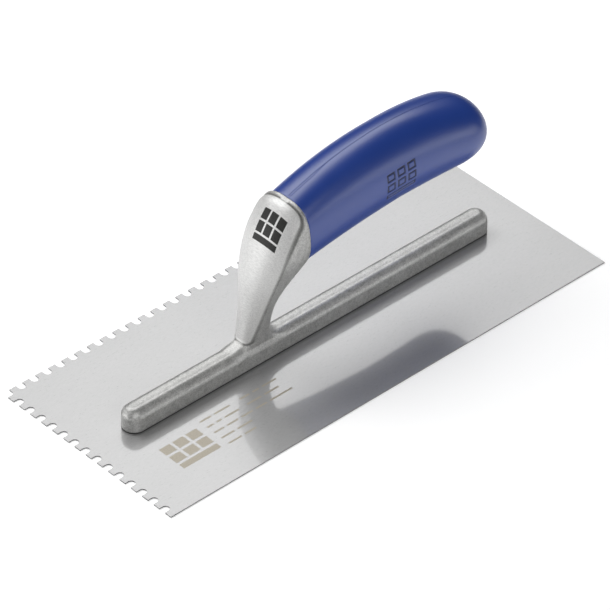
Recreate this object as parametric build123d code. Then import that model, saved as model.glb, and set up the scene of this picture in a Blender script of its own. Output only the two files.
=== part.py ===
from build123d import *
from math import atan2, cos, hypot, pi, radians, sin
import os

# Notched tiling trowel: a spring-steel blade riveted to a cast aluminium mounting, with a
# moulded handle on the mounting's tang. Millimetres.
# Frame: origin at the centre of the blade's working face, +X from toe to heel,
# +Y towards the notched long edge, +Z up to the handle.

# Blade
BLADE_LENGTH = 280.0
BLADE_WIDTH = 120.0
BLADE_THICKNESS = 0.7
NOTCH_WIDTH = 4.0
NOTCH_DEPTH = 4.0
NOTCH_PITCH = 8.0

# Mounting bar
BAR_LENGTH = 232.4
BAR_WIDTH = 12.4
BAR_WALL_HEIGHT = 9.0
BAR_CROWN_HEIGHT = 12.4
BAR_SHOULDER_INSET = 1.7
BAR_SHOULDER_HEIGHT = 11.4
BAR_FOOT_CHAMFER = 0.4

# Rivets
RIVET_COUNT = 8
RIVET_PITCH = 30.0
RIVET_SHANK_RADIUS = 2.0
RIVET_HEAD_RADIUS = 3.2
RIVET_LENGTH = 7.0

# Joint between the mounting's collar and the handle
JOINT_X = -12.6
JOINT_Z = 67.8
JOINT_TILT = radians(3.0)
JOINT_HALF_HEIGHT = 17.9
JOINT_HALF_WIDTH = 15.6
JOINT_POWER = 2.5

# Tang inside the handle
TANG_END = (62.0, 75.0)
TANG_START = (-16.0, 66.6)
TANG_START_SIZE = (16.0, 13.0)
TANG_END_SIZE = (9.0, 8.0)
TANG_CORNER = 2.0

# Handle: length along X, and the thickness of the moulded grip over its core
HANDLE_LENGTH = 118.95
HANDLE_DOME_START = 0.815
HANDLE_DOME_POWER = 2.6
GRIP_WALL = 3.0

# Neck stations from the collar down to the bar's top: front point (x, z), rear point (x, z),
# half width, the power that squares the section's corners, and how much narrower its rear is.
NECK_STATIONS = [
    ((-19.6, 83.2), (-11.9, 48.7), 16.1, 2.6, 0.05),
    ((-27.0, 73.8), (-14.7, 46.2), 16.2, 2.6, 0.13),
    ((-32.8, 61.6), (-19.4, 41.6), 15.1, 2.6, 0.22),
    ((-37.5, 48.1), (-23.8, 35.4), 12.4, 2.8, 0.28),
    ((-40.1, 35.8), (-26.4, 28.9), 9.4, 3.0, 0.24),
    ((-42.0, 26.0), (-28.2, 21.8), 7.3, 3.6, 0.12),
    ((-43.4, 19.4), (-28.2, 17.2), 6.3, 4.0, 0.0),
    ((-47.2, 15.0), (-25.0, 14.0), 5.8, 4.0, 0.0),
    ((-55.0, 12.2), (-18.0, 11.7), 4.8, 4.0, 0.0),
]

HALF_SECTION_POINTS = 9


def blade_solid():
    """Sheet with U notches along the far long edge and the toe edge, and the rivet holes."""
    outline = Rectangle(BLADE_LENGTH, BLADE_WIDTH)
    radius = NOTCH_WIDTH / 2
    notch = Pos(0, NOTCH_DEPTH / 2) * Rectangle(NOTCH_WIDTH, NOTCH_DEPTH)
    notch -= Pos(0, radius / 2) * Rectangle(NOTCH_WIDTH, radius)
    notch += Pos(0, radius) * Circle(radius)
    toe = -BLADE_LENGTH / 2
    far = BLADE_WIDTH / 2
    for index in range(int(BLADE_LENGTH / NOTCH_PITCH)):
        along = toe + radius + index * NOTCH_PITCH
        outline -= Pos(along, far - NOTCH_DEPTH) * notch
    for index in range(int(BLADE_WIDTH / NOTCH_PITCH)):
        along = far - radius - index * NOTCH_PITCH
        outline -= Pos(toe + NOTCH_DEPTH, along) * Rot(0, 0, 90) * notch
    sheet = extrude(outline, BLADE_THICKNESS)
    for rivet in rivet_solids():
        sheet -= rivet
    return sheet


def rivet_places():
    """X positions of the rivets along the bar."""
    first = -RIVET_PITCH * (RIVET_COUNT - 1) / 2
    return [first + RIVET_PITCH * index for index in range(RIVET_COUNT)]


def rivet_solids():
    """Countersunk rivets, flush with the working face, set in blind holes in the bar."""
    rivets = []
    for x in rivet_places():
        head = Cone(
            RIVET_HEAD_RADIUS,
            RIVET_SHANK_RADIUS,
            BLADE_THICKNESS,
            align=(Align.CENTER, Align.CENTER, Align.MIN),
        )
        shank = Cylinder(
            RIVET_SHANK_RADIUS,
            RIVET_LENGTH,
            align=(Align.CENTER, Align.CENTER, Align.MIN),
        )
        rivets.append(Pos(x, 0, 0) * (head + shank))
    return rivets


def bar_solid():
    """Long bar with upright walls, a crowned top and round ends."""
    half = BAR_WIDTH / 2
    foot = BLADE_THICKNESS
    wall = foot + BAR_WALL_HEIGHT
    shoulder = (half - BAR_SHOULDER_INSET, foot + BAR_SHOULDER_HEIGHT)
    crown = (0, foot + BAR_CROWN_HEIGHT)
    right = [
        Line((0, foot), (half - BAR_FOOT_CHAMFER, foot)),
        Line((half - BAR_FOOT_CHAMFER, foot), (half, foot + BAR_FOOT_CHAMFER)),
        Line((half, foot + BAR_FOOT_CHAMFER), (half, wall)),
        Spline((half, wall), shoulder, crown, tangents=((-0.35, 1), (-1, 0))),
        Line(crown, (0, foot)),
    ]
    half_section = make_face(Wire(right))
    section = half_section + mirror(half_section, Plane.YZ)
    run = BAR_LENGTH - BAR_WIDTH
    upright = Plane(origin=(-run / 2, 0, 0), x_dir=(0, 1, 0), z_dir=(1, 0, 0))
    bar = extrude(upright * section, run)
    for side in (-1, 1):
        end = revolve(Plane.XZ * half_section, Axis.Z, 360)
        bar += Pos(side * run / 2, 0, 0) * end
    return bar


def half_section(front, rear, half_width, power, taper=0.0):
    """Closed wire round the +Y half of a superellipse section between a front and a rear point."""
    centre_x = (front[0] + rear[0]) / 2
    centre_z = (front[1] + rear[1]) / 2
    half_depth = hypot(front[0] - rear[0], front[1] - rear[1]) / 2
    up_x = (front[0] - rear[0]) / (2 * half_depth)
    up_z = (front[1] - rear[1]) / (2 * half_depth)
    points = []
    for index in range(HALF_SECTION_POINTS):
        angle = pi / 2 - pi * index / (HALF_SECTION_POINTS - 1)
        width = half_width * (1 - taper * (1 - sin(angle)) / 2)
        across = power_sign(cos(angle), power) * width
        along = power_sign(sin(angle), power) * half_depth
        points.append((centre_x + up_x * along, max(across, 0.0), centre_z + up_z * along))
    points[0] = (front[0], 0.0, front[1])
    points[-1] = (rear[0], 0.0, rear[1])
    curve = Spline(points, tangents=((0, 1, 0), (0, -1, 0)))
    return Wire([curve, Line(points[-1], points[0])])


def symmetric_loft(half_sections):
    """Solid through half sections, joined to its mirror image across the middle plane."""
    half = Solid.make_loft(half_sections)
    return half + half.mirror(Plane.XZ)


def power_sign(value, power):
    """Superellipse coordinate for a circle's cosine or sine."""
    size = abs(value) ** (2 / power)
    return size if value >= 0 else -size


def joint_ends(inset=0.0):
    """Front (upper) and rear (lower) points of the joint's section."""
    reach = JOINT_HALF_HEIGHT - inset
    rise = (-sin(JOINT_TILT) * reach, cos(JOINT_TILT) * reach)
    front = (JOINT_X + rise[0], JOINT_Z + rise[1])
    rear = (JOINT_X - rise[0], JOINT_Z - rise[1])
    return front, rear


def neck_solid():
    """Neck that swells from the bar's width to the handle's section at the collar."""
    front, rear = joint_ends()
    sections = [half_section(front, rear, JOINT_HALF_WIDTH, JOINT_POWER)]
    for station in NECK_STATIONS:
        sections.append(half_section(*station))
    return symmetric_loft(sections)


def tang_solid():
    """Straight tapered tang that the handle is moulded on."""
    run = (TANG_END[0] - TANG_START[0], 0, TANG_END[1] - TANG_START[1])
    sections = []
    for place, size in ((TANG_START, TANG_START_SIZE), (TANG_END, TANG_END_SIZE)):
        plane = Plane(origin=(place[0], 0, place[1]), x_dir=(0, 1, 0), z_dir=run)
        sections.append(plane * RectangleRounded(size[1], size[0], TANG_CORNER))
    return loft(sections)


def handle_station(fraction, inset):
    """Centre, tilt, half height and half width of the handle at a fraction of its length."""
    t = fraction
    x = JOINT_X + HANDLE_LENGTH * t
    z = JOINT_Z + 31.0 * t - 29.0 * t**2 + 5.5 * t**3 - 4.4 * t**4
    rise = 31.0 - 58.0 * t + 16.5 * t**2 - 17.6 * t**3
    slope = atan2(rise, HANDLE_LENGTH)
    ease = min(t / 0.35, 1.0)
    ease = ease * ease * (3 - 2 * ease)
    tilt = JOINT_TILT * (1 - ease) + slope * ease
    half_height = 17.9 + 10.7 * t - 4.9 * t**2 - 9.1 * t**3 - inset
    half_width = 15.6 + 5.55 * t - 0.85 * t**2 - inset
    power = JOINT_POWER - (JOINT_POWER - 2.0) * min(t / 0.5, 1.0)
    return x, z, tilt, half_height, half_width, power


def handle_form(inset):
    """Banana-shaped handle with a domed rear end, drawn in by an inset all round."""
    dome_end = 1.0 - inset / HANDLE_LENGTH
    places = [(t, 1.0) for t in (0.0, 0.12, 0.27, 0.42, 0.57, 0.72, HANDLE_DOME_START)]
    for turn in (20, 38, 54, 67, 77, 84):
        reach = sin(radians(turn))
        t = HANDLE_DOME_START + (dome_end - HANDLE_DOME_START) * reach
        shrink = (1 - reach**HANDLE_DOME_POWER) ** (1 / HANDLE_DOME_POWER)
        places.append((t, shrink))
    sections = []
    for t, shrink in places:
        x, z, tilt, half_height, half_width, power = handle_station(t, inset)
        reach = half_height * shrink
        front = (x - sin(tilt) * reach, z + cos(tilt) * reach)
        rear = (x + sin(tilt) * reach, z - cos(tilt) * reach)
        sections.append(half_section(front, rear, half_width * shrink, power))
    return symmetric_loft(sections)


os.makedirs("parts", exist_ok=True)
rivets = rivet_solids()
tang = tang_solid()
core_form = handle_form(GRIP_WALL)

mounting = bar_solid() + neck_solid() + tang
for rivet in rivets:
    mounting -= rivet
handle_core = core_form - tang
handle_grip = handle_form(0.0) - core_form

export_step(blade_solid(), "parts/blade.step")
export_step(mounting, "parts/mounting.step")
export_step(Compound(children=rivets), "parts/blade_rivets.step")
export_step(handle_core, "parts/handle_core.step")
export_step(handle_grip, "parts/handle_grip.step")
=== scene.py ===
from math import cos, hypot, pi, radians, sin

import bpy
import numpy as np
from mathutils import Matrix, Vector
from numpy.polynomial import Polynomial


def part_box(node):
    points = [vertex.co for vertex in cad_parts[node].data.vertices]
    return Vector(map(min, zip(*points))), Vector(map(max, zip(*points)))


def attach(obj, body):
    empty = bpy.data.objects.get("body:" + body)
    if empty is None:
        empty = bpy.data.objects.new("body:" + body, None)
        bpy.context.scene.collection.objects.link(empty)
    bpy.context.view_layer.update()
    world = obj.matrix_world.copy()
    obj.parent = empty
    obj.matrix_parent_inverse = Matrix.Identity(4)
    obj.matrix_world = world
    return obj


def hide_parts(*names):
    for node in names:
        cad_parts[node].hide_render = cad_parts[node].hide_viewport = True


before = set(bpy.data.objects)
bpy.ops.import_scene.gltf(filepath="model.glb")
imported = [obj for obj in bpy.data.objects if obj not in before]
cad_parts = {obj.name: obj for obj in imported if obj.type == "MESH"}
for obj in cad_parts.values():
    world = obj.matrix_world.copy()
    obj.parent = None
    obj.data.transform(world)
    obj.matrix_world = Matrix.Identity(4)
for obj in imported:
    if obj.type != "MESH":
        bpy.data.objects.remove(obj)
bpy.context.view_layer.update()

# A notched trowel. Lengths below are in millimetres until a mesh is made; Blender works in metres.
MM = 0.001

# Camera; its clip end is in metres
AZIMUTH = radians(-42.3965)
ELEVATION = radians(38.6101)
DISTANCE = 2489.45
LENS_MM = 307.39
SENSOR_MM = 36.0
AIM_RIGHT = -1.625
AIM_UP = 10.28
CLIP_END = 20

# Blade and bar
BLADE_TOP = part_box("blade")[1].z / MM
BAR_HALF_WIDTH = 6.2
BAR_HALF_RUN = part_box("mounting")[1].x / MM - BAR_HALF_WIDTH
BAR_CROWN = 12.4
BAR_WALL = 9.2
SHOULDER_TILT = radians(30)
CROWN_FALL = 0.0019
HOLLOW_DEPTH = 0.16
HOLLOW_MIDDLE = 0.2
HOLLOW_WIDTH = 1.6
HOLLOW_PAST_END = 2.0
HOLLOW_FADE = 6.0
SEAM_DEPTH = 0.06
SEAM_MIDDLE = 3.4
SHOULDER_EDGE_RADIUS = 0.4
BAR_EDGE_RADIUS = 2.2
BAR_FOOT_RADIUS = 0.7

# Joint between the collar and the handle
JOINT_X = -12.6
JOINT_Z = 67.8
JOINT_TILT = radians(3.0)
JOINT_POWER = 2.5

# Neck sections from the joint down to the bar: front point (x, z), rear point (x, z), half width,
# squareness, how much the rear is narrower, half width of the ground face, depth of its arch.
NECK_SECTIONS = [
    (-13.5, 85.7, -11.7, 49.9, 15.6, 2.5, 0.00, 14.4, 4.4),
    (-19.6, 83.2, -11.9, 48.7, 16.0, 2.6, 0.05, 14.4, 4.8),
    (-27.0, 73.8, -14.7, 46.2, 16.1, 2.6, 0.13, 14.8, 5.0),
    (-32.8, 61.6, -19.4, 41.6, 15.1, 2.6, 0.22, 14.3, 5.0),
    (-37.5, 48.1, -23.8, 35.4, 12.4, 2.8, 0.28, 11.9, 4.5),
    (-40.1, 35.8, -26.4, 28.9, 9.4, 3.0, 0.24, 9.2, 3.9),
    (-42.0, 26.0, -28.2, 21.8, 7.3, 3.6, 0.12, 7.2, 3.1),
    (-43.4, 19.4, -28.2, 17.2, 6.0, 4.0, 0.00, 6.0, 2.3),
    (-44.5, 15.2, -26.0, 14.2, 5.5, 4.0, 0.00, 5.2, 1.9),
    (-47.0, 12.0, -20.0, 11.6, 4.8, 4.0, 0.00, 4.8, 1.6),
]
SECTION_STEPS = 40
FACE_TOP = 2.6
FACE_TIP_SECTION = 7.85
FACE_STEP = 0.9
FACE_BACK = 1.6
FRONT_SQUARENESS = 2.4
COVE_DEPTH = 0.5
COVE_MIDDLE = 0.9
COVE_WIDTH = 0.9
COVE_REACH = 5.0
FACE_ARCH_POWER = 2.2
FACE_TOP_RADIUS = 5.5
FACE_TIP_RADIUS = 2.6
FACE_EDGE_RADIUS = 0.35
FACE_SEAT_RADIUS = 0.6
SEAT_RELEASE = 3.0
FACE_JOIN_RADIUS = 0.7
FACE_FADE_TOP = 3.0
FACE_FADE_TIP = 1.5
FACE_PAST_TIP = 0.5
COLLAR_EDGE_RADIUS = 0.3
NECK_FILLET = 2.6
FOOT_FILLET = 6.0
FOOT_X = -43.0
FOOT_FILLET_RUN = 6.0

# Grid of the casting's mesh, and how its vertices are moved onto the surface
CELL = 0.5
BATCH = 20000
SETTLE_ROUNDS = 3
SETTLE_PROBE = 0.04

# Where the casting's ground face is marked, and where shade is painted dark into its creases, along
# its base line and on its seam
GROUND_INSET = 0.1
GROUND_FADE = 0.3
GROUND_NEAR = 0.3
CREASE_MIDDLE = 0.45
CREASE_WIDTH = 0.6
CREASE_BACK = 2.6
CREASE_SHADE_STRENGTH = 0.7
CREASE_PLAIN_HALF = 2.0
# Painted shadow along the foot of the bar, where it meets the blade
BASE_SHADE_HEIGHT = 1.3
BASE_SHADE_FADE = 0.25
BASE_SHADE_STRENGTH = 1.1
# Painted shade along the seam on the bar's crown
SEAM_SHADE_HALF = 0.26
SEAM_SHADE_BAND = (11.0, 13.0)
SEAM_SHADE_STRENGTH = 0.5

# Tang inside the handle
TANG_START = (-16.0, 66.6)
TANG_END = (62.0, 75.0)
TANG_START_HALF = (8.0, 6.5)
TANG_END_HALF = (4.5, 4.0)
TANG_CORNER = 2.0

# Handle: polynomials in the fraction of its length give its centre line and its section
HANDLE_LENGTH = 118.95
HANDLE_RISE = Polynomial([0.0, 31.0, -29.0, 5.5, -4.4])
HANDLE_HALF_HEIGHT = Polynomial([17.9, 10.7, -4.9, -9.1])
HANDLE_HALF_WIDTH = Polynomial([15.6, 5.55, -0.85])
HANDLE_TILT_EASE = 0.35
HANDLE_ROUND_FROM = 0.5
DOME_START = 0.815
DOME_POWER = 2.6
GRIP_WALL = 3.0
GRIP_EDGE = 0.35

# Moulded lines along the grip: the main one all along, the twin near the collar only
PART_LINE_DEPTH = 0.12
PART_LINE_HALF = 0.16
TWIN_LINE_SIDE = 1.15
TWIN_LINE_MEET = 0.24
TWIN_LINE_BEND = 0.1
TWIN_LINE_END = 0.22

# Mark sunk in the side of the grip: outlines of its tiles
GRIP_MARK_SIZE = (18.0, 14.5)
GRIP_MARK_X = 43.5
GRIP_MARK_Z = 76.4
GRIP_MARK_SLOPE = 0.10
GRIP_MARK_LINE = 1.1
GRIP_MARK_EDGE = 0.2
GRIP_MARK_FROM_SIDE = 5.0
MARK_DEPTH = 0.45

# Mark printed on the ground face
NECK_MARK_SIZE = (15.0, 16.5)
NECK_MARK_HEIGHT = 74.5
NECK_MARK_SHIFT = -1.4
PRINT_THICKNESS = 0.04

# Mark etched on the blade, and plain dashes in rows: start and length of each
BLADE_MARK_SIZE = (23.0, 18.0)
BLADE_MARK_X = -101.5
BLADE_MARK_Y = -29.6
BLADE_DASHES = [
    [(0, 7), (9, 9.5), (25, 6), (33, 4), (39, 9)],
    [(0, 4), (6, 3), (11, 9), (25, 9), (36, 9)],
    [(0, 6), (8, 7), (17, 7), (26, 7), (35, 14)],
    [(0, 8), (10, 9)],
    [(0, 8), (10, 7)],
]
DASH_LEFT = -85.6
DASH_TOP = -18.5
DASH_PITCH = 5.1
DASH_HALF = 0.55
ETCH_THICKNESS = 0.015
ETCH_SPACING = 4.0

# Every mark: rows and columns of tiles, gap as a share of its width, bar as a share of its height,
# and where the underside of its plates lies, just below the surface
MARK_TILES = (2, 3)
MARK_GAP = 0.07
MARK_BAR = 0.2
MARK_SEAT = -0.02

# Colours of each finish, dark and light
BLADE_GREYS = ((0.38, 0.38, 0.38), (0.45, 0.45, 0.45))
# Painted shade for the blade's sheared edges, far darker than the steel
SHEARED_EDGE_SHADE = (0.10, 0.10, 0.105)
CAST_GREYS = ((0.36, 0.36, 0.352), (0.61, 0.61, 0.596))
GROUND_GREYS = ((0.62, 0.62, 0.615), (0.82, 0.82, 0.81))
# Painted shade for the casting's creases, base line and seam
CREASE_SHADE_GREY = (0.02, 0.02, 0.018)
GRIP_BLUES = ((0.006, 0.044, 0.285), (0.008, 0.050, 0.315))
# Painted shade in the grip's moulded lines and mark
RECESS_SHADE_BLUE = (0.002, 0.010, 0.055)
CORE_GREYS = ((0.02, 0.022, 0.026), (0.035, 0.037, 0.042))
RIVET_GREYS = ((0.46, 0.46, 0.47), (0.60, 0.60, 0.60))
ETCHED_GREYS = ((0.42, 0.38, 0.31), (0.50, 0.46, 0.38))
PRINTED_GREYS = ((0.012, 0.012, 0.011), (0.03, 0.029, 0.027))
PAPER_WHITES = ((0.90, 0.90, 0.90), (0.92, 0.92, 0.92))
WHITE = (1, 1, 1, 1)

# Span that holds most of a noise's values
NOISE_SPAN = (0.3, 0.7)

# Studio, in metres
FLOOR_RADIUS = 0.5
FLOOR_FAR_RADIUS = 4.5
FLOOR_SIDES = 96
FLOOR_DROP = 0.00005
FLOOR_GLOW = 0.42
BACKDROP_HALF = 5.0
BACKDROP_GLOW = 1.0
WORLD_STRENGTH = 0.05

# Soft boxes: name, place, size, facing, brightness of the lit face
DOWN = (0, 0, -1)
SOFT_BOXES = [
    ("key_box", (0.49, 0.71, 1.0), (1.20, 0.7), DOWN, 3.2),
    ("back_box", (-0.42, 1.15, 1.0), (0.66, 1.6), DOWN, 3.5),
    ("front_box", (-0.45, -0.95, 0.7), (1.0, 0.7), (0.4, 0.85, -0.6), 2.2),
    ("front_strip", (0.85, -1.05, 0.18), (1.3, 0.36), (-0.4, 0.9, 0), 1.8),
    ("toe_box", (-1.2, 0.7, 0.5), (1.5, 0.4), (1, 0, 0), 1.0),
    ("toe_strip", (-1.2, 1.0, 0.15), (1.4, 0.3), (1, 0, 0), 4.2),
]


# ---------------------------------------------------------------- mesh and node helpers


def make_piece(name, vertices, faces, material, smooth=True):
    """Mesh object from millimetre vertices, riding on the trowel's one body."""
    mesh = bpy.data.meshes.new(name)
    mesh.from_pydata((np.asarray(vertices) * MM).tolist(), [], [list(map(int, f)) for f in faces])
    mesh.update()
    mesh.polygons.foreach_set("use_smooth", [smooth] * len(mesh.polygons))
    mesh.materials.append(material)
    piece = bpy.data.objects.new(name, mesh)
    bpy.context.scene.collection.objects.link(piece)
    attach(piece, "root")
    return piece


class Nodes:
    """Short hand for building one material's node tree."""

    def __init__(self, name):
        self.material = bpy.data.materials.new(name)
        self.material.use_nodes = True
        self.tree = self.material.node_tree
        self.shader = self.tree.nodes["Principled BSDF"]
        self.place = self.add("ShaderNodeTexCoord").outputs["Object"]

    def add(self, kind, **settings):
        node = self.tree.nodes.new(kind)
        for key, value in settings.items():
            setattr(node, key, value)
        return node

    def link(self, source, socket):
        self.tree.links.new(source, socket)

    def set(self, **values):
        for key, value in values.items():
            self.shader.inputs[key.replace("_", " ")].default_value = value

    def stretched(self, scale):
        """Object coordinates scaled by a factor for each axis."""
        node = self.add("ShaderNodeMapping")
        node.inputs["Scale"].default_value = scale
        self.link(self.place, node.inputs["Vector"])
        return node.outputs["Vector"]

    def noise(self, scale, detail=2.0, rough=0.5):
        """Noise from 0 to 1 at a scale, in features per metre for each axis."""
        node = self.add("ShaderNodeTexNoise")
        node.inputs["Scale"].default_value = 1.0
        node.inputs["Detail"].default_value = detail
        node.inputs["Roughness"].default_value = rough
        self.link(self.stretched(scale), node.inputs["Vector"])
        return node.outputs["Fac"]

    def math(self, operation, first, second=None):
        node = self.add("ShaderNodeMath", operation=operation)
        for socket, value in zip(node.inputs, (first, second)):
            if isinstance(value, (int, float)):
                socket.default_value = value
            elif value is not None:
                self.link(value, socket)
        return node.outputs[0]

    def spread(self, value, low, high, from_low, from_high):
        """Value mapped to low and high from the span from_low to from_high."""
        node = self.add("ShaderNodeMapRange")
        self.link(value, node.inputs["Value"])
        node.inputs["From Min"].default_value = from_low
        node.inputs["From Max"].default_value = from_high
        node.inputs["To Min"].default_value = low
        node.inputs["To Max"].default_value = high
        return node.outputs["Result"]

    def mix(self, factor, first, second):
        """Colour between two colours, each a constant or a socket."""
        node = self.add("ShaderNodeMix", data_type="RGBA")
        self.link(factor, node.inputs[0])
        for socket, value in ((node.inputs[6], first), (node.inputs[7], second)):
            if isinstance(value, tuple):
                socket.default_value = (*value, 1.0)
            else:
                self.link(value, socket)
        return node.outputs[2]

    def blend(self, factor, first, second):
        """Number between two numbers, each a constant or a socket."""
        node = self.add("ShaderNodeMix", data_type="FLOAT")
        self.link(factor, node.inputs[0])
        for socket, value in ((node.inputs[2], first), (node.inputs[3], second)):
            if isinstance(value, (int, float)):
                socket.default_value = value
            else:
                self.link(value, socket)
        return node.outputs[0]

    def bump(self, height, distance, strength):
        """Fine relief; distance is in metres."""
        node = self.add("ShaderNodeBump")
        node.inputs["Strength"].default_value = strength
        node.inputs["Distance"].default_value = distance
        self.link(height, node.inputs["Height"])
        self.link(node.outputs["Normal"], self.shader.inputs["Normal"])

    def colour(self, value):
        self.link(value, self.shader.inputs["Base Color"])

    def roughness(self, value):
        self.link(value, self.shader.inputs["Roughness"])


# ---------------------------------------------------------------- materials


def blade_steel():
    """Satin spring steel with a fine grain along X, and rougher sheared edges painted dark as shade.

    A grey base under a clear coat gives both its soft body and the sharp reflections on it.
    """
    n = Nodes("blade_steel")
    n.set(Metallic=0.12, Coat_Weight=1.0, Coat_IOR=1.6, Coat_Roughness=0.07)
    grain = n.noise((500, 1700, 500), 3.0, 0.6)
    fine = n.noise((1400, 3800, 1400), 2.0, 0.5)
    cloud = n.noise((25, 40, 25), 2.0)
    both = n.math("ADD", n.math("MULTIPLY", grain, 0.6), n.math("MULTIPLY", fine, 0.4))
    tone = n.math("ADD", n.math("MULTIPLY", both, 0.8), n.math("MULTIPLY", cloud, 0.2))
    face = n.mix(n.spread(tone, 0, 1, *NOISE_SPAN), *BLADE_GREYS)
    normal = n.add("ShaderNodeSeparateXYZ")
    n.link(n.add("ShaderNodeNewGeometry").outputs["True Normal"], normal.inputs[0])
    flat = n.math("GREATER_THAN", n.math("ABSOLUTE", normal.outputs["Z"]), 0.5)
    # Painted shade: the edge faces are given a dark grey, and they are also rougher
    n.colour(n.mix(flat, SHEARED_EDGE_SHADE, face))
    n.roughness(n.blend(flat, 0.5, n.spread(both, 0.26, 0.34, *NOISE_SPAN)))
    n.bump(both, 0.000005, 0.7)
    return n.material


def cast_aluminium():
    """Tumbled casting with a speckled skin and a ground face brushed across, with shade painted dark
    into its creases, along its base and on its seam.
    """
    n = Nodes("cast_aluminium")
    n.set(Metallic=0.5)
    mask = n.add("ShaderNodeAttribute", attribute_name="ground").outputs["Fac"]
    crease_shade = n.add("ShaderNodeAttribute", attribute_name="crease_shade").outputs["Fac"]
    speck = n.noise((1500, 1500, 1500), 2.0, 0.6)
    patch = n.noise((420, 420, 420), 2.0)
    cloud = n.noise((60, 60, 60), 2.0)
    skin = n.math("ADD", n.math("MULTIPLY", speck, 0.6), n.math("MULTIPLY", patch, 0.25))
    skin = n.math("ADD", skin, n.math("MULTIPLY", cloud, 0.15))
    cast = n.mix(n.spread(skin, 0, 1, 0.38, 0.62), *CAST_GREYS)
    streak = n.noise((3200, 420, 3200), 3.0, 0.6)
    ground = n.mix(n.spread(streak, 0, 1, 0.35, 0.65), *GROUND_GREYS)
    metal = n.mix(mask, cast, ground)
    # Painted shade: the colour darkens in the creases, along the base and on the crown's seam
    n.colour(n.mix(n.math("MULTIPLY", crease_shade, 0.9), metal, CREASE_SHADE_GREY))
    cast_rough = n.spread(skin, 0.34, 0.48, 0.35, 0.65)
    rough = n.blend(mask, cast_rough, n.spread(streak, 0.44, 0.54, *NOISE_SPAN))
    n.roughness(n.blend(crease_shade, rough, 0.95))
    height = n.blend(mask, skin, n.math("MULTIPLY", streak, 0.10))
    n.bump(height, 0.00009, 0.9)
    return n.material


def grip_plastic():
    """Deep blue moulded plastic with a soft gloss, rougher where it is recessed and with shade
    painted dark into the recesses.
    """
    n = Nodes("grip_plastic")
    n.set(IOR=1.55, Specular_IOR_Level=1.0)
    cloud = n.noise((30, 30, 30), 2.0)
    recess = n.add("ShaderNodeAttribute", attribute_name="recess").outputs["Fac"]
    blue = n.mix(n.spread(cloud, 0, 1, *NOISE_SPAN), *GRIP_BLUES)
    # Painted shade: the moulded lines and the mark are darkened
    n.colour(n.mix(recess, blue, RECESS_SHADE_BLUE))
    n.roughness(n.blend(recess, n.spread(cloud, 0.34, 0.38, *NOISE_SPAN), 0.7))
    return n.material


def core_plastic():
    """Plain dark moulding inside the grip."""
    n = Nodes("core_plastic")
    fine = n.noise((700, 700, 700), 3.0)
    n.colour(n.mix(fine, *CORE_GREYS))
    n.roughness(n.spread(fine, 0.5, 0.65, *NOISE_SPAN))
    n.bump(fine, 0.00005, 0.4)
    return n.material


def rivet_steel():
    """Rivet heads ground flush with the working face, with a grain along Y."""
    n = Nodes("rivet_steel")
    n.set(Metallic=1.0)
    grain = n.noise((2400, 160, 160), 3.0, 0.6)
    n.colour(n.mix(grain, *RIVET_GREYS))
    n.roughness(n.spread(grain, 0.28, 0.42, *NOISE_SPAN))
    n.bump(grain, 0.00001, 0.5)
    return n.material


def mark_finish(name, greys, roughness):
    """Etched or printed mark, slightly uneven."""
    n = Nodes(name)
    n.set(Metallic=0.2)
    fine = n.noise((1600, 1600, 1600), 2.0)
    n.colour(n.mix(n.spread(fine, 0, 1, *NOISE_SPAN), *greys))
    n.roughness(n.spread(fine, roughness, roughness + 0.12, *NOISE_SPAN))
    n.bump(fine, 0.000005, 0.4)
    return n.material


def floor_paper():
    """Pale studio paper with a faint glow, so that it comes out white."""
    n = Nodes("floor_paper")
    fibre = n.noise((400, 400, 400), 3.0)
    n.colour(n.mix(fibre, *PAPER_WHITES))
    n.set(Roughness=0.9, Specular_IOR_Level=0.1)
    n.set(Emission_Color=WHITE, Emission_Strength=FLOOR_GLOW)
    return n.material


def backdrop_white():
    """Plain white that glows evenly."""
    n = Nodes("backdrop_white")
    n.set(Roughness=1.0, Emission_Color=WHITE, Emission_Strength=BACKDROP_GLOW)
    n.material.cycles.emission_sampling = "NONE"
    return n.material


# ---------------------------------------------------------------- smooth fields


def smooth_min(a, b, radius):
    """Union of two fields with a fillet."""
    h = np.clip(0.5 + 0.5 * (b - a) / radius, 0, 1)
    return b * (1 - h) + a * h - radius * h * (1 - h)


def smooth_max(a, b, radius):
    """Intersection of two fields with a rounded edge."""
    return -smooth_min(-a, -b, radius)


def through_points(values, steps):
    """Catmull-Rom curve through rows of values."""
    count = len(values)
    spans = np.linspace(0, count - 1, (count - 1) * steps + 1)
    index = np.minimum(spans.astype(int), count - 2)
    t = (spans - index)[:, None]
    padded = np.vstack([2 * values[0] - values[1], values, 2 * values[-1] - values[-2]])
    a, b, c, d = (padded[index + shift] for shift in range(4))
    linear = (c - a) * t
    square = (2 * a - 5 * b + 4 * c - d) * t**2
    cube = (3 * b - a - 3 * c + d) * t**3
    return 0.5 * (2 * b + linear + square + cube)


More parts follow.
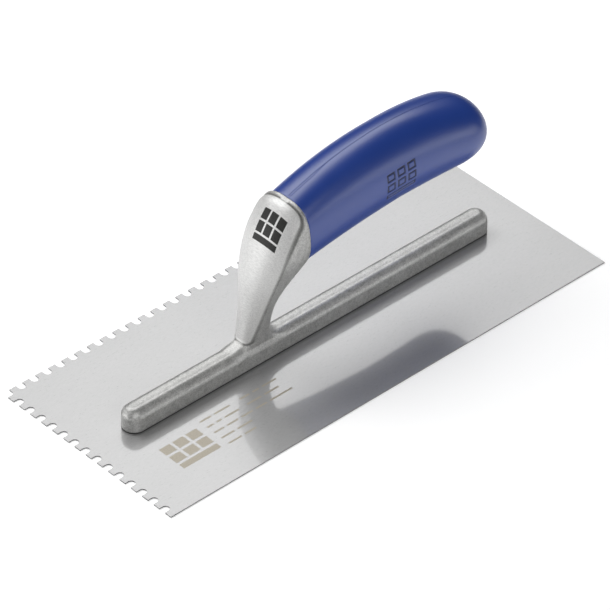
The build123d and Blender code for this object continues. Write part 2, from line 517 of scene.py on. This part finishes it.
class Neck:
    """The neck's sections: planes across its length that hold the Y axis."""

    def __init__(self):
        self.table = through_points(np.array(NECK_SECTIONS), SECTION_STEPS)
        front = self.table[:, 0:2]
        rear = self.table[:, 2:4]
        self.front = front
        self.centre = (front + rear) / 2
        half = (front - rear) / 2
        self.depth = np.hypot(half[:, 0], half[:, 1])
        self.up = half / self.depth[:, None]
        self.normal = np.stack([self.up[:, 1], -self.up[:, 0]], 1)
        steps = np.hypot(*np.diff(front, axis=0).T)
        self.reach = np.concatenate([[0], np.cumsum(steps)])
        self.tip = np.interp(FACE_TIP_SECTION * SECTION_STEPS, np.arange(len(self.reach)), self.reach)

    def locate(self, x, z):
        """Fractional index of the section plane through each point."""
        points = np.stack([x.ravel(), z.ravel()], 1)
        found = np.empty(len(points))
        last = len(self.table) - 1
        for start in range(0, len(points), BATCH):
            part = points[start : start + BATCH, None, :] - self.centre[None]
            side = (part * self.normal[None]).sum(2)
            behind = side > 0
            index = np.where(behind.any(1), behind.argmax(1), last)
            before = np.maximum(index - 1, 0)
            row = np.arange(len(side))
            gap = side[row, before] - side[row, index]
            share = np.where(np.abs(gap) > 1e-9, side[row, before] / np.where(gap == 0, 1, gap), 0)
            found[start : start + BATCH] = before + np.clip(share, 0, 1) * (index - before)
        return found.reshape(x.shape)

    def at(self, values, index):
        """Row of a table at a fractional index."""
        low = np.clip(index.astype(int), 0, len(self.table) - 2)
        share = index - low
        if values.ndim > 1:
            share = share[..., None]
        return values[low] * (1 - share) + values[low + 1] * share

    def terms(self, x, z):
        """Where points lie in their sections, before their Y is known."""
        index = self.locate(x, z)
        centre = self.at(self.centre, index)
        up = self.at(self.up, index)
        dx = x - centre[..., 0]
        dz = z - centre[..., 1]
        off = np.abs(dx * up[..., 1] - dz * up[..., 0])
        outside = (index <= 0) | (index >= len(self.table) - 1)
        return {
            "along": dx * up[..., 0] + dz * up[..., 1],
            "off": np.where(outside, off, -100.0),
            "depth": self.at(self.depth, index),
            "reach": self.at(self.reach, index),
            "row": self.at(self.table, index),
        }


def neck_field(neck, at, y):
    """Cast body of the neck, squared and set in under the ground face, with a cove round it."""
    row = at["row"]
    depth = at["depth"]
    u = at["along"] / depth
    width = row[..., 4] * (1 - row[..., 6] * (1 - np.clip(u, -1, 1)) / 2)
    v = np.abs(y) / width
    under_face = np.clip((at["reach"] - FACE_TOP + FACE_FADE_TOP) / FACE_FADE_TOP, 0, 1)
    before_tip = (neck.tip - at["reach"] + FACE_PAST_TIP) / FACE_FADE_TIP
    under_face = under_face * np.clip(before_tip, 0, 1)
    power = row[..., 5] + FRONT_SQUARENESS * np.clip(u, 0, 1) * under_face
    size = (np.abs(u) ** power + v**power) ** (1 / power)
    slope = np.hypot(np.abs(u) ** (power - 1) / depth, v ** (power - 1) / width)
    slope = np.maximum(size, 1e-3) ** (1 - power) * slope
    body = np.maximum((size - 1) / np.maximum(slope, 0.05), at["off"])
    front, outline, _ = face_terms(neck, at, y)
    near_front = np.clip((front + COVE_REACH) / COVE_REACH, 0, 1)
    body = body + COVE_DEPTH * near_front * np.exp(-(((outline - COVE_MIDDLE) / COVE_WIDTH) ** 2))
    seat = front + FACE_STEP - SEAT_RELEASE * (1 - under_face)
    return smooth_max(body, seat, FACE_SEAT_RADIUS)


def face_terms(neck, at, y):
    """Distances from the ground face's front surface, from its outline and from its back."""
    half = at["row"][..., 7]
    arch = at["row"][..., 8]
    share = np.abs(y) / half
    behind = at["depth"] - at["along"]
    slope = FACE_ARCH_POWER * arch / half * np.clip(share, 0, 1.2) ** (FACE_ARCH_POWER - 1)
    front = (arch * share**FACE_ARCH_POWER - behind) / np.sqrt(1 + slope**2)
    outline = smooth_max(np.abs(y) - half, FACE_TOP - at["reach"], FACE_TOP_RADIUS)
    outline = smooth_max(outline, at["reach"] - neck.tip, FACE_TIP_RADIUS)
    return front, outline, behind - arch - FACE_BACK


def face_field(neck, at, y):
    """Ground face of the neck, proud of the casting."""
    front, outline, back = face_terms(neck, at, y)
    return np.maximum(smooth_max(front, outline, FACE_EDGE_RADIUS), back)


def bar_field(x, y, z):
    """Long bar: upright walls, sloped shoulders, and a crown with a shallow hollow and a seam."""
    radius = np.hypot(x - np.clip(x, -BAR_HALF_RUN, BAR_HALF_RUN), y)
    inside = np.clip((BAR_HALF_RUN + HOLLOW_PAST_END - np.abs(x)) / HOLLOW_FADE, 0, 1)
    hollow = HOLLOW_DEPTH * inside * np.exp(-(((y - HOLLOW_MIDDLE) / HOLLOW_WIDTH) ** 2))
    seam = SEAM_DEPTH * inside * np.clip(1 - np.abs(y - SEAM_MIDDLE) / CELL, 0, 1)
    top = BLADE_TOP + BAR_CROWN - CROWN_FALL * radius**4 - hollow - seam
    wall = radius - BAR_HALF_WIDTH
    shoulder = wall * cos(SHOULDER_TILT) + (z - BLADE_TOP - BAR_WALL) * sin(SHOULDER_TILT)
    body = smooth_max(wall, shoulder, SHOULDER_EDGE_RADIUS)
    body = smooth_max(body, z - top, BAR_EDGE_RADIUS)
    return smooth_max(body, BLADE_TOP - z, BAR_FOOT_RADIUS)


def tang_field(x, y, z):
    """Tapered tang from the collar into the handle's core."""
    run = (TANG_END[0] - TANG_START[0], TANG_END[1] - TANG_START[1])
    length = hypot(*run)
    ax, az = run[0] / length, run[1] / length
    along = (x - TANG_START[0]) * ax + (z - TANG_START[1]) * az
    across = (z - TANG_START[1]) * ax - (x - TANG_START[0]) * az
    share = np.clip(along / length, 0, 1)
    tall = TANG_START_HALF[0] + (TANG_END_HALF[0] - TANG_START_HALF[0]) * share
    wide = TANG_START_HALF[1] + (TANG_END_HALF[1] - TANG_START_HALF[1]) * share
    a = np.abs(across) - tall + TANG_CORNER
    b = np.abs(y) - wide + TANG_CORNER
    box = np.hypot(np.maximum(a, 0), np.maximum(b, 0)) + np.minimum(np.maximum(a, b), 0)
    return np.maximum(box - TANG_CORNER, np.maximum(-along, along - length))


def mounting_field(neck, at, x, y, z):
    """The whole casting."""
    body = smooth_min(neck_field(neck, at, y), face_field(neck, at, y), FACE_JOIN_RADIUS)
    beyond = (x - JOINT_X) * cos(JOINT_TILT) + (z - JOINT_Z) * sin(JOINT_TILT)
    body = smooth_max(body, beyond, COLLAR_EDGE_RADIUS)
    foot = np.clip((FOOT_X - x) / FOOT_FILLET_RUN, 0, 1)
    fillet = NECK_FILLET + (FOOT_FILLET - NECK_FILLET) * foot
    body = smooth_min(body, bar_field(x, y, z), fillet)
    return np.minimum(body, tang_field(x, y, z))


def surface_net(values, origin):
    """Quads round the zero level of a grid of field values, one vertex in each crossed cell."""
    inside = values < 0
    nx, ny, nz = values.shape
    count = np.zeros((nx - 1, ny - 1, nz - 1), np.int8)
    corners = [(a, b, c) for a in (0, 1) for b in (0, 1) for c in (0, 1)]
    for a, b, c in corners:
        count += inside[a : nx - 1 + a, b : ny - 1 + b, c : nz - 1 + c]
    crossed = (count > 0) & (count < 8)
    cells = np.argwhere(crossed)
    number = -np.ones(crossed.shape, np.int64)
    number[crossed] = np.arange(len(cells))
    total = np.zeros((len(cells), 3))
    hits = np.zeros(len(cells))
    for first in corners:
        for axis in range(3):
            if first[axis]:
                continue
            step = np.eye(3, dtype=int)[axis]
            start = values[tuple((cells + first).T)]
            end = values[tuple((cells + first + step).T)]
            cut = (start < 0) != (end < 0)
            share = np.where(cut, start / np.where(cut, start - end, 1), 0)
            total += (np.array(first) + share[:, None] * step) * cut[:, None]
            hits += cut
    vertices = (cells + total / hits[:, None]) * CELL + origin
    quads = []
    for axis in range(3):
        low = [slice(1, -1)] * 3
        high = [slice(1, -1)] * 3
        low[axis] = slice(0, -1)
        high[axis] = slice(1, None)
        starts_inside = inside[tuple(low)]
        cut = starts_inside != inside[tuple(high)]
        edges = np.argwhere(cut) + 1 - np.eye(3, dtype=int)[axis]
        across = np.eye(3, dtype=int)[(axis + 1) % 3]
        up = np.eye(3, dtype=int)[(axis + 2) % 3]
        ring = [edges - across - up, edges - up, edges, edges - across]
        ring = np.stack([number[tuple(place.T)] for place in ring], 1)
        turned = ~starts_inside[cut]
        ring[turned] = ring[turned][:, ::-1]
        quads.append(ring)
    return vertices, np.concatenate(quads)


def settle(vertices, field):
    """Moves vertices onto the zero level of a field."""
    for _ in range(SETTLE_ROUNDS):
        value = field(vertices)
        slope = [field(vertices + SETTLE_PROBE * axis) - value for axis in np.eye(3)]
        slope = np.stack(slope, 1) / SETTLE_PROBE
        step = -value[:, None] * slope / np.maximum((slope**2).sum(1), 0.05)[:, None]
        length = np.linalg.norm(step, axis=1)
        step *= np.minimum(1, 0.5 * CELL / np.maximum(length, 1e-9))[:, None]
        vertices = vertices + step
    return vertices


def mounting_piece(neck, material):
    """Mesh of the casting, with the ground face and the painted shade in its creases, along its base
    and on its seam marked in attributes.
    """
    low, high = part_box("mounting")
    xs = np.arange(low.x / MM - 2 * CELL, high.x / MM + 2 * CELL, CELL)
    zs = np.arange(low.z / MM - 2 * CELL, high.z / MM + 2 * CELL, CELL)
    half_count = int(high.y / MM / CELL) + 3
    ys = CELL * (np.arange(-half_count, half_count) + 0.5)
    x, z = np.meshgrid(xs, zs, indexing="ij")
    at = {key: value[:, None] for key, value in neck.terms(x, z).items()}
    values = mounting_field(neck, at, x[:, None], ys[None, :, None], z[:, None])
    vertices, quads = surface_net(values, (xs[0], ys[0], zs[0]))

    def field(points):
        px, py, pz = points.T
        return mounting_field(neck, neck.terms(px, pz), px, py, pz)

    vertices = settle(vertices, field)
    piece = make_piece("mounting_casting", vertices, quads, material)
    x, y, z = vertices.T
    front, outline, _ = face_terms(neck, neck.terms(x, z), y)
    ground = np.clip((-outline - GROUND_INSET) / GROUND_FADE, 0, 1) * (np.abs(front) < GROUND_NEAR)
    # Painted shade in the cove round the ground face
    crease_shade = np.exp(-(((outline - CREASE_MIDDLE) / CREASE_WIDTH) ** 2))
    crease_shade = crease_shade * np.clip(front + CREASE_BACK, 0, 1)
    crease_shade = CREASE_SHADE_STRENGTH * crease_shade * np.clip(np.abs(y) - CREASE_PLAIN_HALF, 0, 1)
    # Painted shadow along the foot of the bar
    above_base = (BLADE_TOP + BASE_SHADE_HEIGHT - z) / BASE_SHADE_FADE
    base_shade = BASE_SHADE_STRENGTH * np.clip(above_base, 0, 1)
    height = z - BLADE_TOP
    # Painted shade along the seam on the crown
    seam = SEAM_SHADE_STRENGTH * (np.abs(y - SEAM_MIDDLE) < SEAM_SHADE_HALF)
    seam = seam * (height > SEAM_SHADE_BAND[0]) * (height < SEAM_SHADE_BAND[1])
    crease_shade = np.maximum(np.maximum(crease_shade, base_shade), seam)
    for name, values in (("ground", ground), ("crease_shade", crease_shade)):
        attribute = piece.data.attributes.new(name, "FLOAT", "POINT")
        attribute.data.foreach_set("value", values.astype(np.float32))
    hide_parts("mounting")


# ---------------------------------------------------------------- handle


def handle_centre(t):
    """Centre line, tilt, half height, half width and squareness along the handle."""
    x = JOINT_X + HANDLE_LENGTH * t
    z = JOINT_Z + HANDLE_RISE(t)
    slope = np.arctan2(HANDLE_RISE.deriv()(t), HANDLE_LENGTH)
    ease = np.minimum(t / HANDLE_TILT_EASE, 1.0)
    ease = ease * ease * (3 - 2 * ease)
    tilt = JOINT_TILT * (1 - ease) + slope * ease
    power = JOINT_POWER - (JOINT_POWER - 2.0) * np.minimum(t / HANDLE_ROUND_FROM, 1.0)
    return x, z, tilt, HANDLE_HALF_HEIGHT(t), HANDLE_HALF_WIDTH(t), power


def handle_surface(t, angle, inset):
    """Points of the handle; angle 0 is its top and a right angle its -Y side."""
    x, z, tilt, tall, wide, power = handle_centre(t)
    dome_end = 1 - inset / HANDLE_LENGTH
    over = np.clip((t - DOME_START) / (dome_end - DOME_START), 0, 1)
    shrink = (1 - over**DOME_POWER) ** (1 / DOME_POWER)
    c, s = np.cos(angle), np.sin(angle)
    size = (np.abs(c) ** power + np.abs(s) ** power) ** (1 / power)
    up = (tall - inset) * shrink * c / size
    side = -(wide - inset) * shrink * s / size
    return np.stack([x - np.sin(tilt) * up, side + 0 * x, z + np.cos(tilt) * up], -1)


def groove(offset, half_width):
    """Depth share of a V groove at a distance from its middle."""
    return np.clip(1 - np.abs(offset) / half_width, 0, 1)


def mark_shapes(width, height):
    """Plain mark, six tiles over a bar: (left, right, bottom, top) of each plate about its centre."""
    rows, columns = MARK_TILES
    gap = MARK_GAP * width
    tile_wide = (width - (columns - 1) * gap) / columns
    bar_tall = MARK_BAR * height
    tile_tall = (height - bar_tall - rows * gap) / rows
    shapes = [(-width / 2, width / 2, -height / 2, -height / 2 + bar_tall)]
    for row in range(rows):
        bottom = -height / 2 + bar_tall + gap + row * (tile_tall + gap)
        for column in range(columns):
            left = -width / 2 + column * (tile_wide + gap)
            shapes.append((left, left + tile_wide, bottom, bottom + tile_tall))
    return shapes


def grip_recess(points, t, angle):
    """How far the moulded lines and the mark sink below the handle's surface."""
    side = -points[..., 1]
    top = np.cos(angle) > 0.5
    under = np.cos(angle) < -0.5
    main = groove(side, PART_LINE_HALF) * (top | under)
    twin_side = TWIN_LINE_SIDE * np.clip((TWIN_LINE_MEET - t) / TWIN_LINE_BEND, 0, 1)
    twin = groove(side - twin_side, PART_LINE_HALF) * top * (t < TWIN_LINE_END)
    recess = PART_LINE_DEPTH * np.maximum(main, twin)
    across = points[..., 0] - GRIP_MARK_X
    up = points[..., 2] - GRIP_MARK_Z - GRIP_MARK_SLOPE * across
    mark = np.zeros(t.shape)
    for left, right, low, high in mark_shapes(*GRIP_MARK_SIZE):
        inside = np.minimum(across - left, right - across)
        inside = np.minimum(inside, np.minimum(up - low, high - up))
        line = np.clip(inside / GRIP_MARK_EDGE, 0, 1)
        line = line * np.clip((GRIP_MARK_LINE - inside) / GRIP_MARK_EDGE, 0, 1)
        mark = np.maximum(mark, line)
    return recess + MARK_DEPTH * mark * (side > GRIP_MARK_FROM_SIDE)


def handle_angles():
    """Column angles, close together at the moulded lines and the mark."""
    mean_radius = 17.5
    closest = 0.003
    angles = list(np.radians(np.arange(0, 360, 1.9)))
    angles += list(np.arange(-0.5, 1.6, 0.08) / mean_radius)
    angles += list(pi + np.arange(-0.4, 0.45, 0.08) / mean_radius)
    angles += list(np.radians(np.arange(60, 118, 0.62)))
    angles = np.sort(np.mod(angles, 2 * pi))
    keep = np.concatenate([[True], np.diff(angles) > closest])
    return angles[keep]


def handle_fractions():
    """Ring places along the outer surface, close together at the mark."""
    lengths = list(np.arange(1.0, 46.0, 1.0)) + list(np.arange(46.0, 67.0, 0.22))
    lengths += list(np.arange(67.5, DOME_START * HANDLE_LENGTH, 1.0))
    dome = np.radians(np.arange(0, 88.6, 2.2))
    fractions = [length / HANDLE_LENGTH for length in lengths]
    return np.array(fractions + list(DOME_START + (1 - DOME_START) * np.sin(dome)))


def grip_piece(material):
    """Grip as a closed shell: the inner wall, a rounded rim at the collar and the outer surface."""
    angles = handle_angles()
    rings = []
    sinks = []
    inner_end = 1 - GRIP_WALL / HANDLE_LENGTH
    inner = DOME_START + (inner_end - DOME_START) * np.sin(np.radians(np.arange(86, -1, -6)))
    inner = np.concatenate([inner, np.arange(0.78, 0.01, -0.04), [0.0]])
    for t in inner:
        rings.append(handle_surface(np.full(angles.shape, t), angles, GRIP_WALL))
    for turn in np.radians((90, 60, 30, 0)):
        t = np.full(angles.shape, GRIP_EDGE * (1 - sin(turn)) / HANDLE_LENGTH)
        rings.append(handle_surface(t, angles, GRIP_EDGE * (1 - cos(turn))))
    for t in handle_fractions():
        column = np.full(angles.shape, t)
        ring = handle_surface(column, angles, 0.0)
        sunk = handle_surface(column, angles, 1.0)
        sink = grip_recess(ring, column, angles)
        sinks.append(sink)
        rings.append(ring + (sunk - ring) * sink[:, None])
    vertices = np.concatenate(rings)
    plain = np.zeros(len(vertices) - len(sinks) * len(angles))
    columns = len(angles)
    faces = []
    for ring in range(len(rings) - 1):
        for column in range(columns):
            after = (column + 1) % columns
            faces.append(
                (ring * columns + column, ring * columns + after,
                 (ring + 1) * columns + after, (ring + 1) * columns + column)
            )
    poles = [rings[0].mean(0), handle_surface(np.array([1.0]), np.array([0.0]), 0.0)[0]]
    first, last = len(vertices), len(vertices) + 1
    vertices = np.vstack([vertices, poles])
    end = (len(rings) - 1) * columns
    for column in range(columns):
        after = (column + 1) % columns
        faces.append((first, after, column))
        faces.append((last, end + column, end + after))
    piece = make_piece("handle_grip_skin", vertices, faces, material)
    # Recess depth, which the grip's material uses for painted shade and a rougher finish
    depths = np.concatenate([plain, *sinks, np.zeros(len(poles))])
    attribute = piece.data.attributes.new("recess", "FLOAT", "POINT")
    attribute.data.foreach_set("value", np.clip(depths / MARK_DEPTH, 0, 1).astype(np.float32))
    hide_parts("handle_grip")


# ---------------------------------------------------------------- marks


def plates(shapes, surface, thickness, spacing=0.8):
    """Thin closed plates that follow a surface; surface(a, b, height) gives points in millimetres."""
    vertices = []
    faces = []
    for left, right, bottom, top in shapes:
        across = np.linspace(left, right, max(2, int((right - left) / spacing) + 2))
        up = np.linspace(bottom, top, max(2, int((top - bottom) / spacing) + 2))
        a, b = np.meshgrid(across, up, indexing="ij")
        rows, columns = a.shape
        base = len(vertices)
        for height in (MARK_SEAT, thickness):
            vertices += surface(a.ravel(), b.ravel(), height).tolist()
        layer = rows * columns

        def corner(i, j, level):
            return base + level * layer + i * columns + j

        for i in range(rows - 1):
            for j in range(columns - 1):
                for level, turn in ((1, 1), (0, -1)):
                    quad = [corner(i, j, level), corner(i + 1, j, level),
                            corner(i + 1, j + 1, level), corner(i, j + 1, level)]
                    faces.append(quad[::turn])
        edge = [(i, 0) for i in range(rows)] + [(rows - 1, j) for j in range(1, columns)]
        edge += [(i, columns - 1) for i in range(rows - 2, -1, -1)]
        edge += [(0, j) for j in range(columns - 2, 0, -1)]
        for here, there in zip(edge, edge[1:] + edge[:1]):
            faces.append([corner(*here, 0), corner(*there, 0), corner(*there, 1), corner(*here, 1)])
    return np.array(vertices), faces


def blade_marks(material):
    """Etched mark and rows of plain dashes on the blade."""

    def on_blade(a, b, height):
        return np.stack([a, b, np.full(a.shape, BLADE_TOP + height)], -1)

    shapes = []
    for left, right, bottom, top in mark_shapes(*BLADE_MARK_SIZE):
        across = (left + BLADE_MARK_X, right + BLADE_MARK_X)
        shapes.append((*across, bottom + BLADE_MARK_Y, top + BLADE_MARK_Y))
    for row, dashes in enumerate(BLADE_DASHES):
        middle = DASH_TOP - DASH_PITCH * row
        for start, length in dashes:
            left = DASH_LEFT + start
            shapes.append((left, left + length, middle - DASH_HALF, middle + DASH_HALF))
    vertices, faces = plates(shapes, on_blade, ETCH_THICKNESS, ETCH_SPACING)
    make_piece("blade_etching", vertices, faces, material, smooth=False)


def neck_mark(neck, material):
    """Printed mark on the ground face of the neck."""
    middle_reach = np.interp(-NECK_MARK_HEIGHT, -neck.front[:, 1], neck.reach)

    def on_face(a, b, height):
        index = np.interp(middle_reach - b, neck.reach, np.arange(len(neck.reach)))
        a = a + NECK_MARK_SHIFT
        row = neck.at(neck.table, index)
        arch = row[:, 8] * (np.abs(a) / row[:, 7]) ** FACE_ARCH_POWER
        up = neck.at(neck.up, index)
        spot = row[:, 0:2] - up * arch[:, None] + up * height
        return np.stack([spot[:, 0], a, spot[:, 1]], -1)

    vertices, faces = plates(mark_shapes(*NECK_MARK_SIZE), on_face, PRINT_THICKNESS)
    make_piece("neck_print", vertices, faces, material, smooth=False)


# ---------------------------------------------------------------- stage


def view_axes():
    """The camera's right, up and backward directions."""
    back = Vector((sin(AZIMUTH) * cos(ELEVATION), -cos(AZIMUTH) * cos(ELEVATION), sin(ELEVATION)))
    right = Vector((cos(AZIMUTH), sin(AZIMUTH), 0))
    return right, back.cross(right), back


def make_camera():
    """Long lens looking down on the trowel's toe corner."""
    right, up, back = view_axes()
    data = bpy.data.cameras.new("camera")
    data.lens = LENS_MM
    data.sensor_width = SENSOR_MM
    data.clip_end = CLIP_END
    camera = bpy.data.objects.new("camera", data)
    aim = right * AIM_RIGHT + up * AIM_UP + Vector((0, 0, BLADE_TOP))
    place = (aim + back * DISTANCE) * MM
    camera.matrix_world = Matrix.Translation(place) @ Matrix((right, up, back)).transposed().to_4x4()
    bpy.context.scene.collection.objects.link(camera)
    bpy.context.scene.camera = camera


def soft_light(name, place, size, facing, brightness):
    """Rectangular soft box; brightness is that of its lit face."""
    data = bpy.data.lights.new(name, "AREA")
    data.shape = "RECTANGLE"
    data.size, data.size_y = size
    data.energy = brightness * pi * size[0] * size[1]
    light = bpy.data.objects.new(name, data)
    light.location = place
    light.rotation_euler = Vector(facing).to_track_quat("-Z", "Y").to_euler()
    light.visible_camera = False
    bpy.context.scene.collection.objects.link(light)


def studio_surround():
    """Dim even light from all round."""
    world = bpy.data.worlds.new("studio")
    world.use_nodes = True
    background = world.node_tree.nodes["Background"]
    background.inputs["Color"].default_value = WHITE
    background.inputs["Strength"].default_value = WORLD_STRENGTH
    return world


def stage_mesh(name, vertices, faces, material):
    """Piece of the studio, in metres."""
    mesh = bpy.data.meshes.new(name)
    mesh.from_pydata(vertices, [], faces)
    mesh.materials.append(material)
    piece = bpy.data.objects.new(name, mesh)
    bpy.context.scene.collection.objects.link(piece)
    return piece


def circle(radius):
    """Points of a circle on the floor."""
    turns = [2 * pi * index / FLOOR_SIDES for index in range(FLOOR_SIDES)]
    return [(radius * cos(turn), radius * sin(turn), -FLOOR_DROP) for turn in turns]


def make_floor(material):
    """Paper under the trowel, and the same paper further out, which the trowel doesn't reflect."""
    stage_mesh("floor", circle(FLOOR_RADIUS), [tuple(range(FLOOR_SIDES))], material)
    ring = []
    for here in range(FLOOR_SIDES):
        after = (here + 1) % FLOOR_SIDES
        ring.append((FLOOR_SIDES + here, FLOOR_SIDES + after, after, here))
    circles = circle(FLOOR_RADIUS) + circle(FLOOR_FAR_RADIUS)
    far = stage_mesh("floor_far", circles, ring, material)
    far.visible_glossy = False
    far.visible_diffuse = False


def make_backdrop(material):
    """White room seen behind the floor; it sheds no light of its own."""
    side = BACKDROP_HALF
    corners = [(x, y, z) for x in (-side, side) for y in (-side, side) for z in (-side, side)]
    walls = [(0, 1, 3, 2), (4, 6, 7, 5), (0, 4, 5, 1), (2, 3, 7, 6), (0, 2, 6, 4), (1, 5, 7, 3)]
    backdrop = stage_mesh("backdrop", corners, walls, material)
    backdrop.visible_diffuse = False
    backdrop.visible_glossy = False
    backdrop.visible_shadow = False


def make_stage():
    """Floor, backdrop, soft boxes and a dim surround."""
    make_floor(floor_paper())
    make_backdrop(backdrop_white())
    bpy.context.scene.world = studio_surround()
    for soft_box in SOFT_BOXES:
        soft_light(*soft_box)
    bpy.context.scene.view_settings.view_transform = "Standard"


# ---------------------------------------------------------------- assembly

make_camera()
make_stage()
neck = Neck()
aluminium = cast_aluminium()
finishes = {
    "blade": blade_steel(),
    "blade_rivets": rivet_steel(),
    "handle_core": core_plastic(),
    "mounting": aluminium,
    "handle_grip": grip_plastic(),
}
for node, finish in finishes.items():
    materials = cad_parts[node].data.materials
    materials.clear()
    materials.append(finish)
mounting_piece(neck, aluminium)
grip_piece(finishes["handle_grip"])
blade_marks(mark_finish("etched_mark", ETCHED_GREYS, 0.4))
neck_mark(neck, mark_finish("printed_mark", PRINTED_GREYS, 0.45))
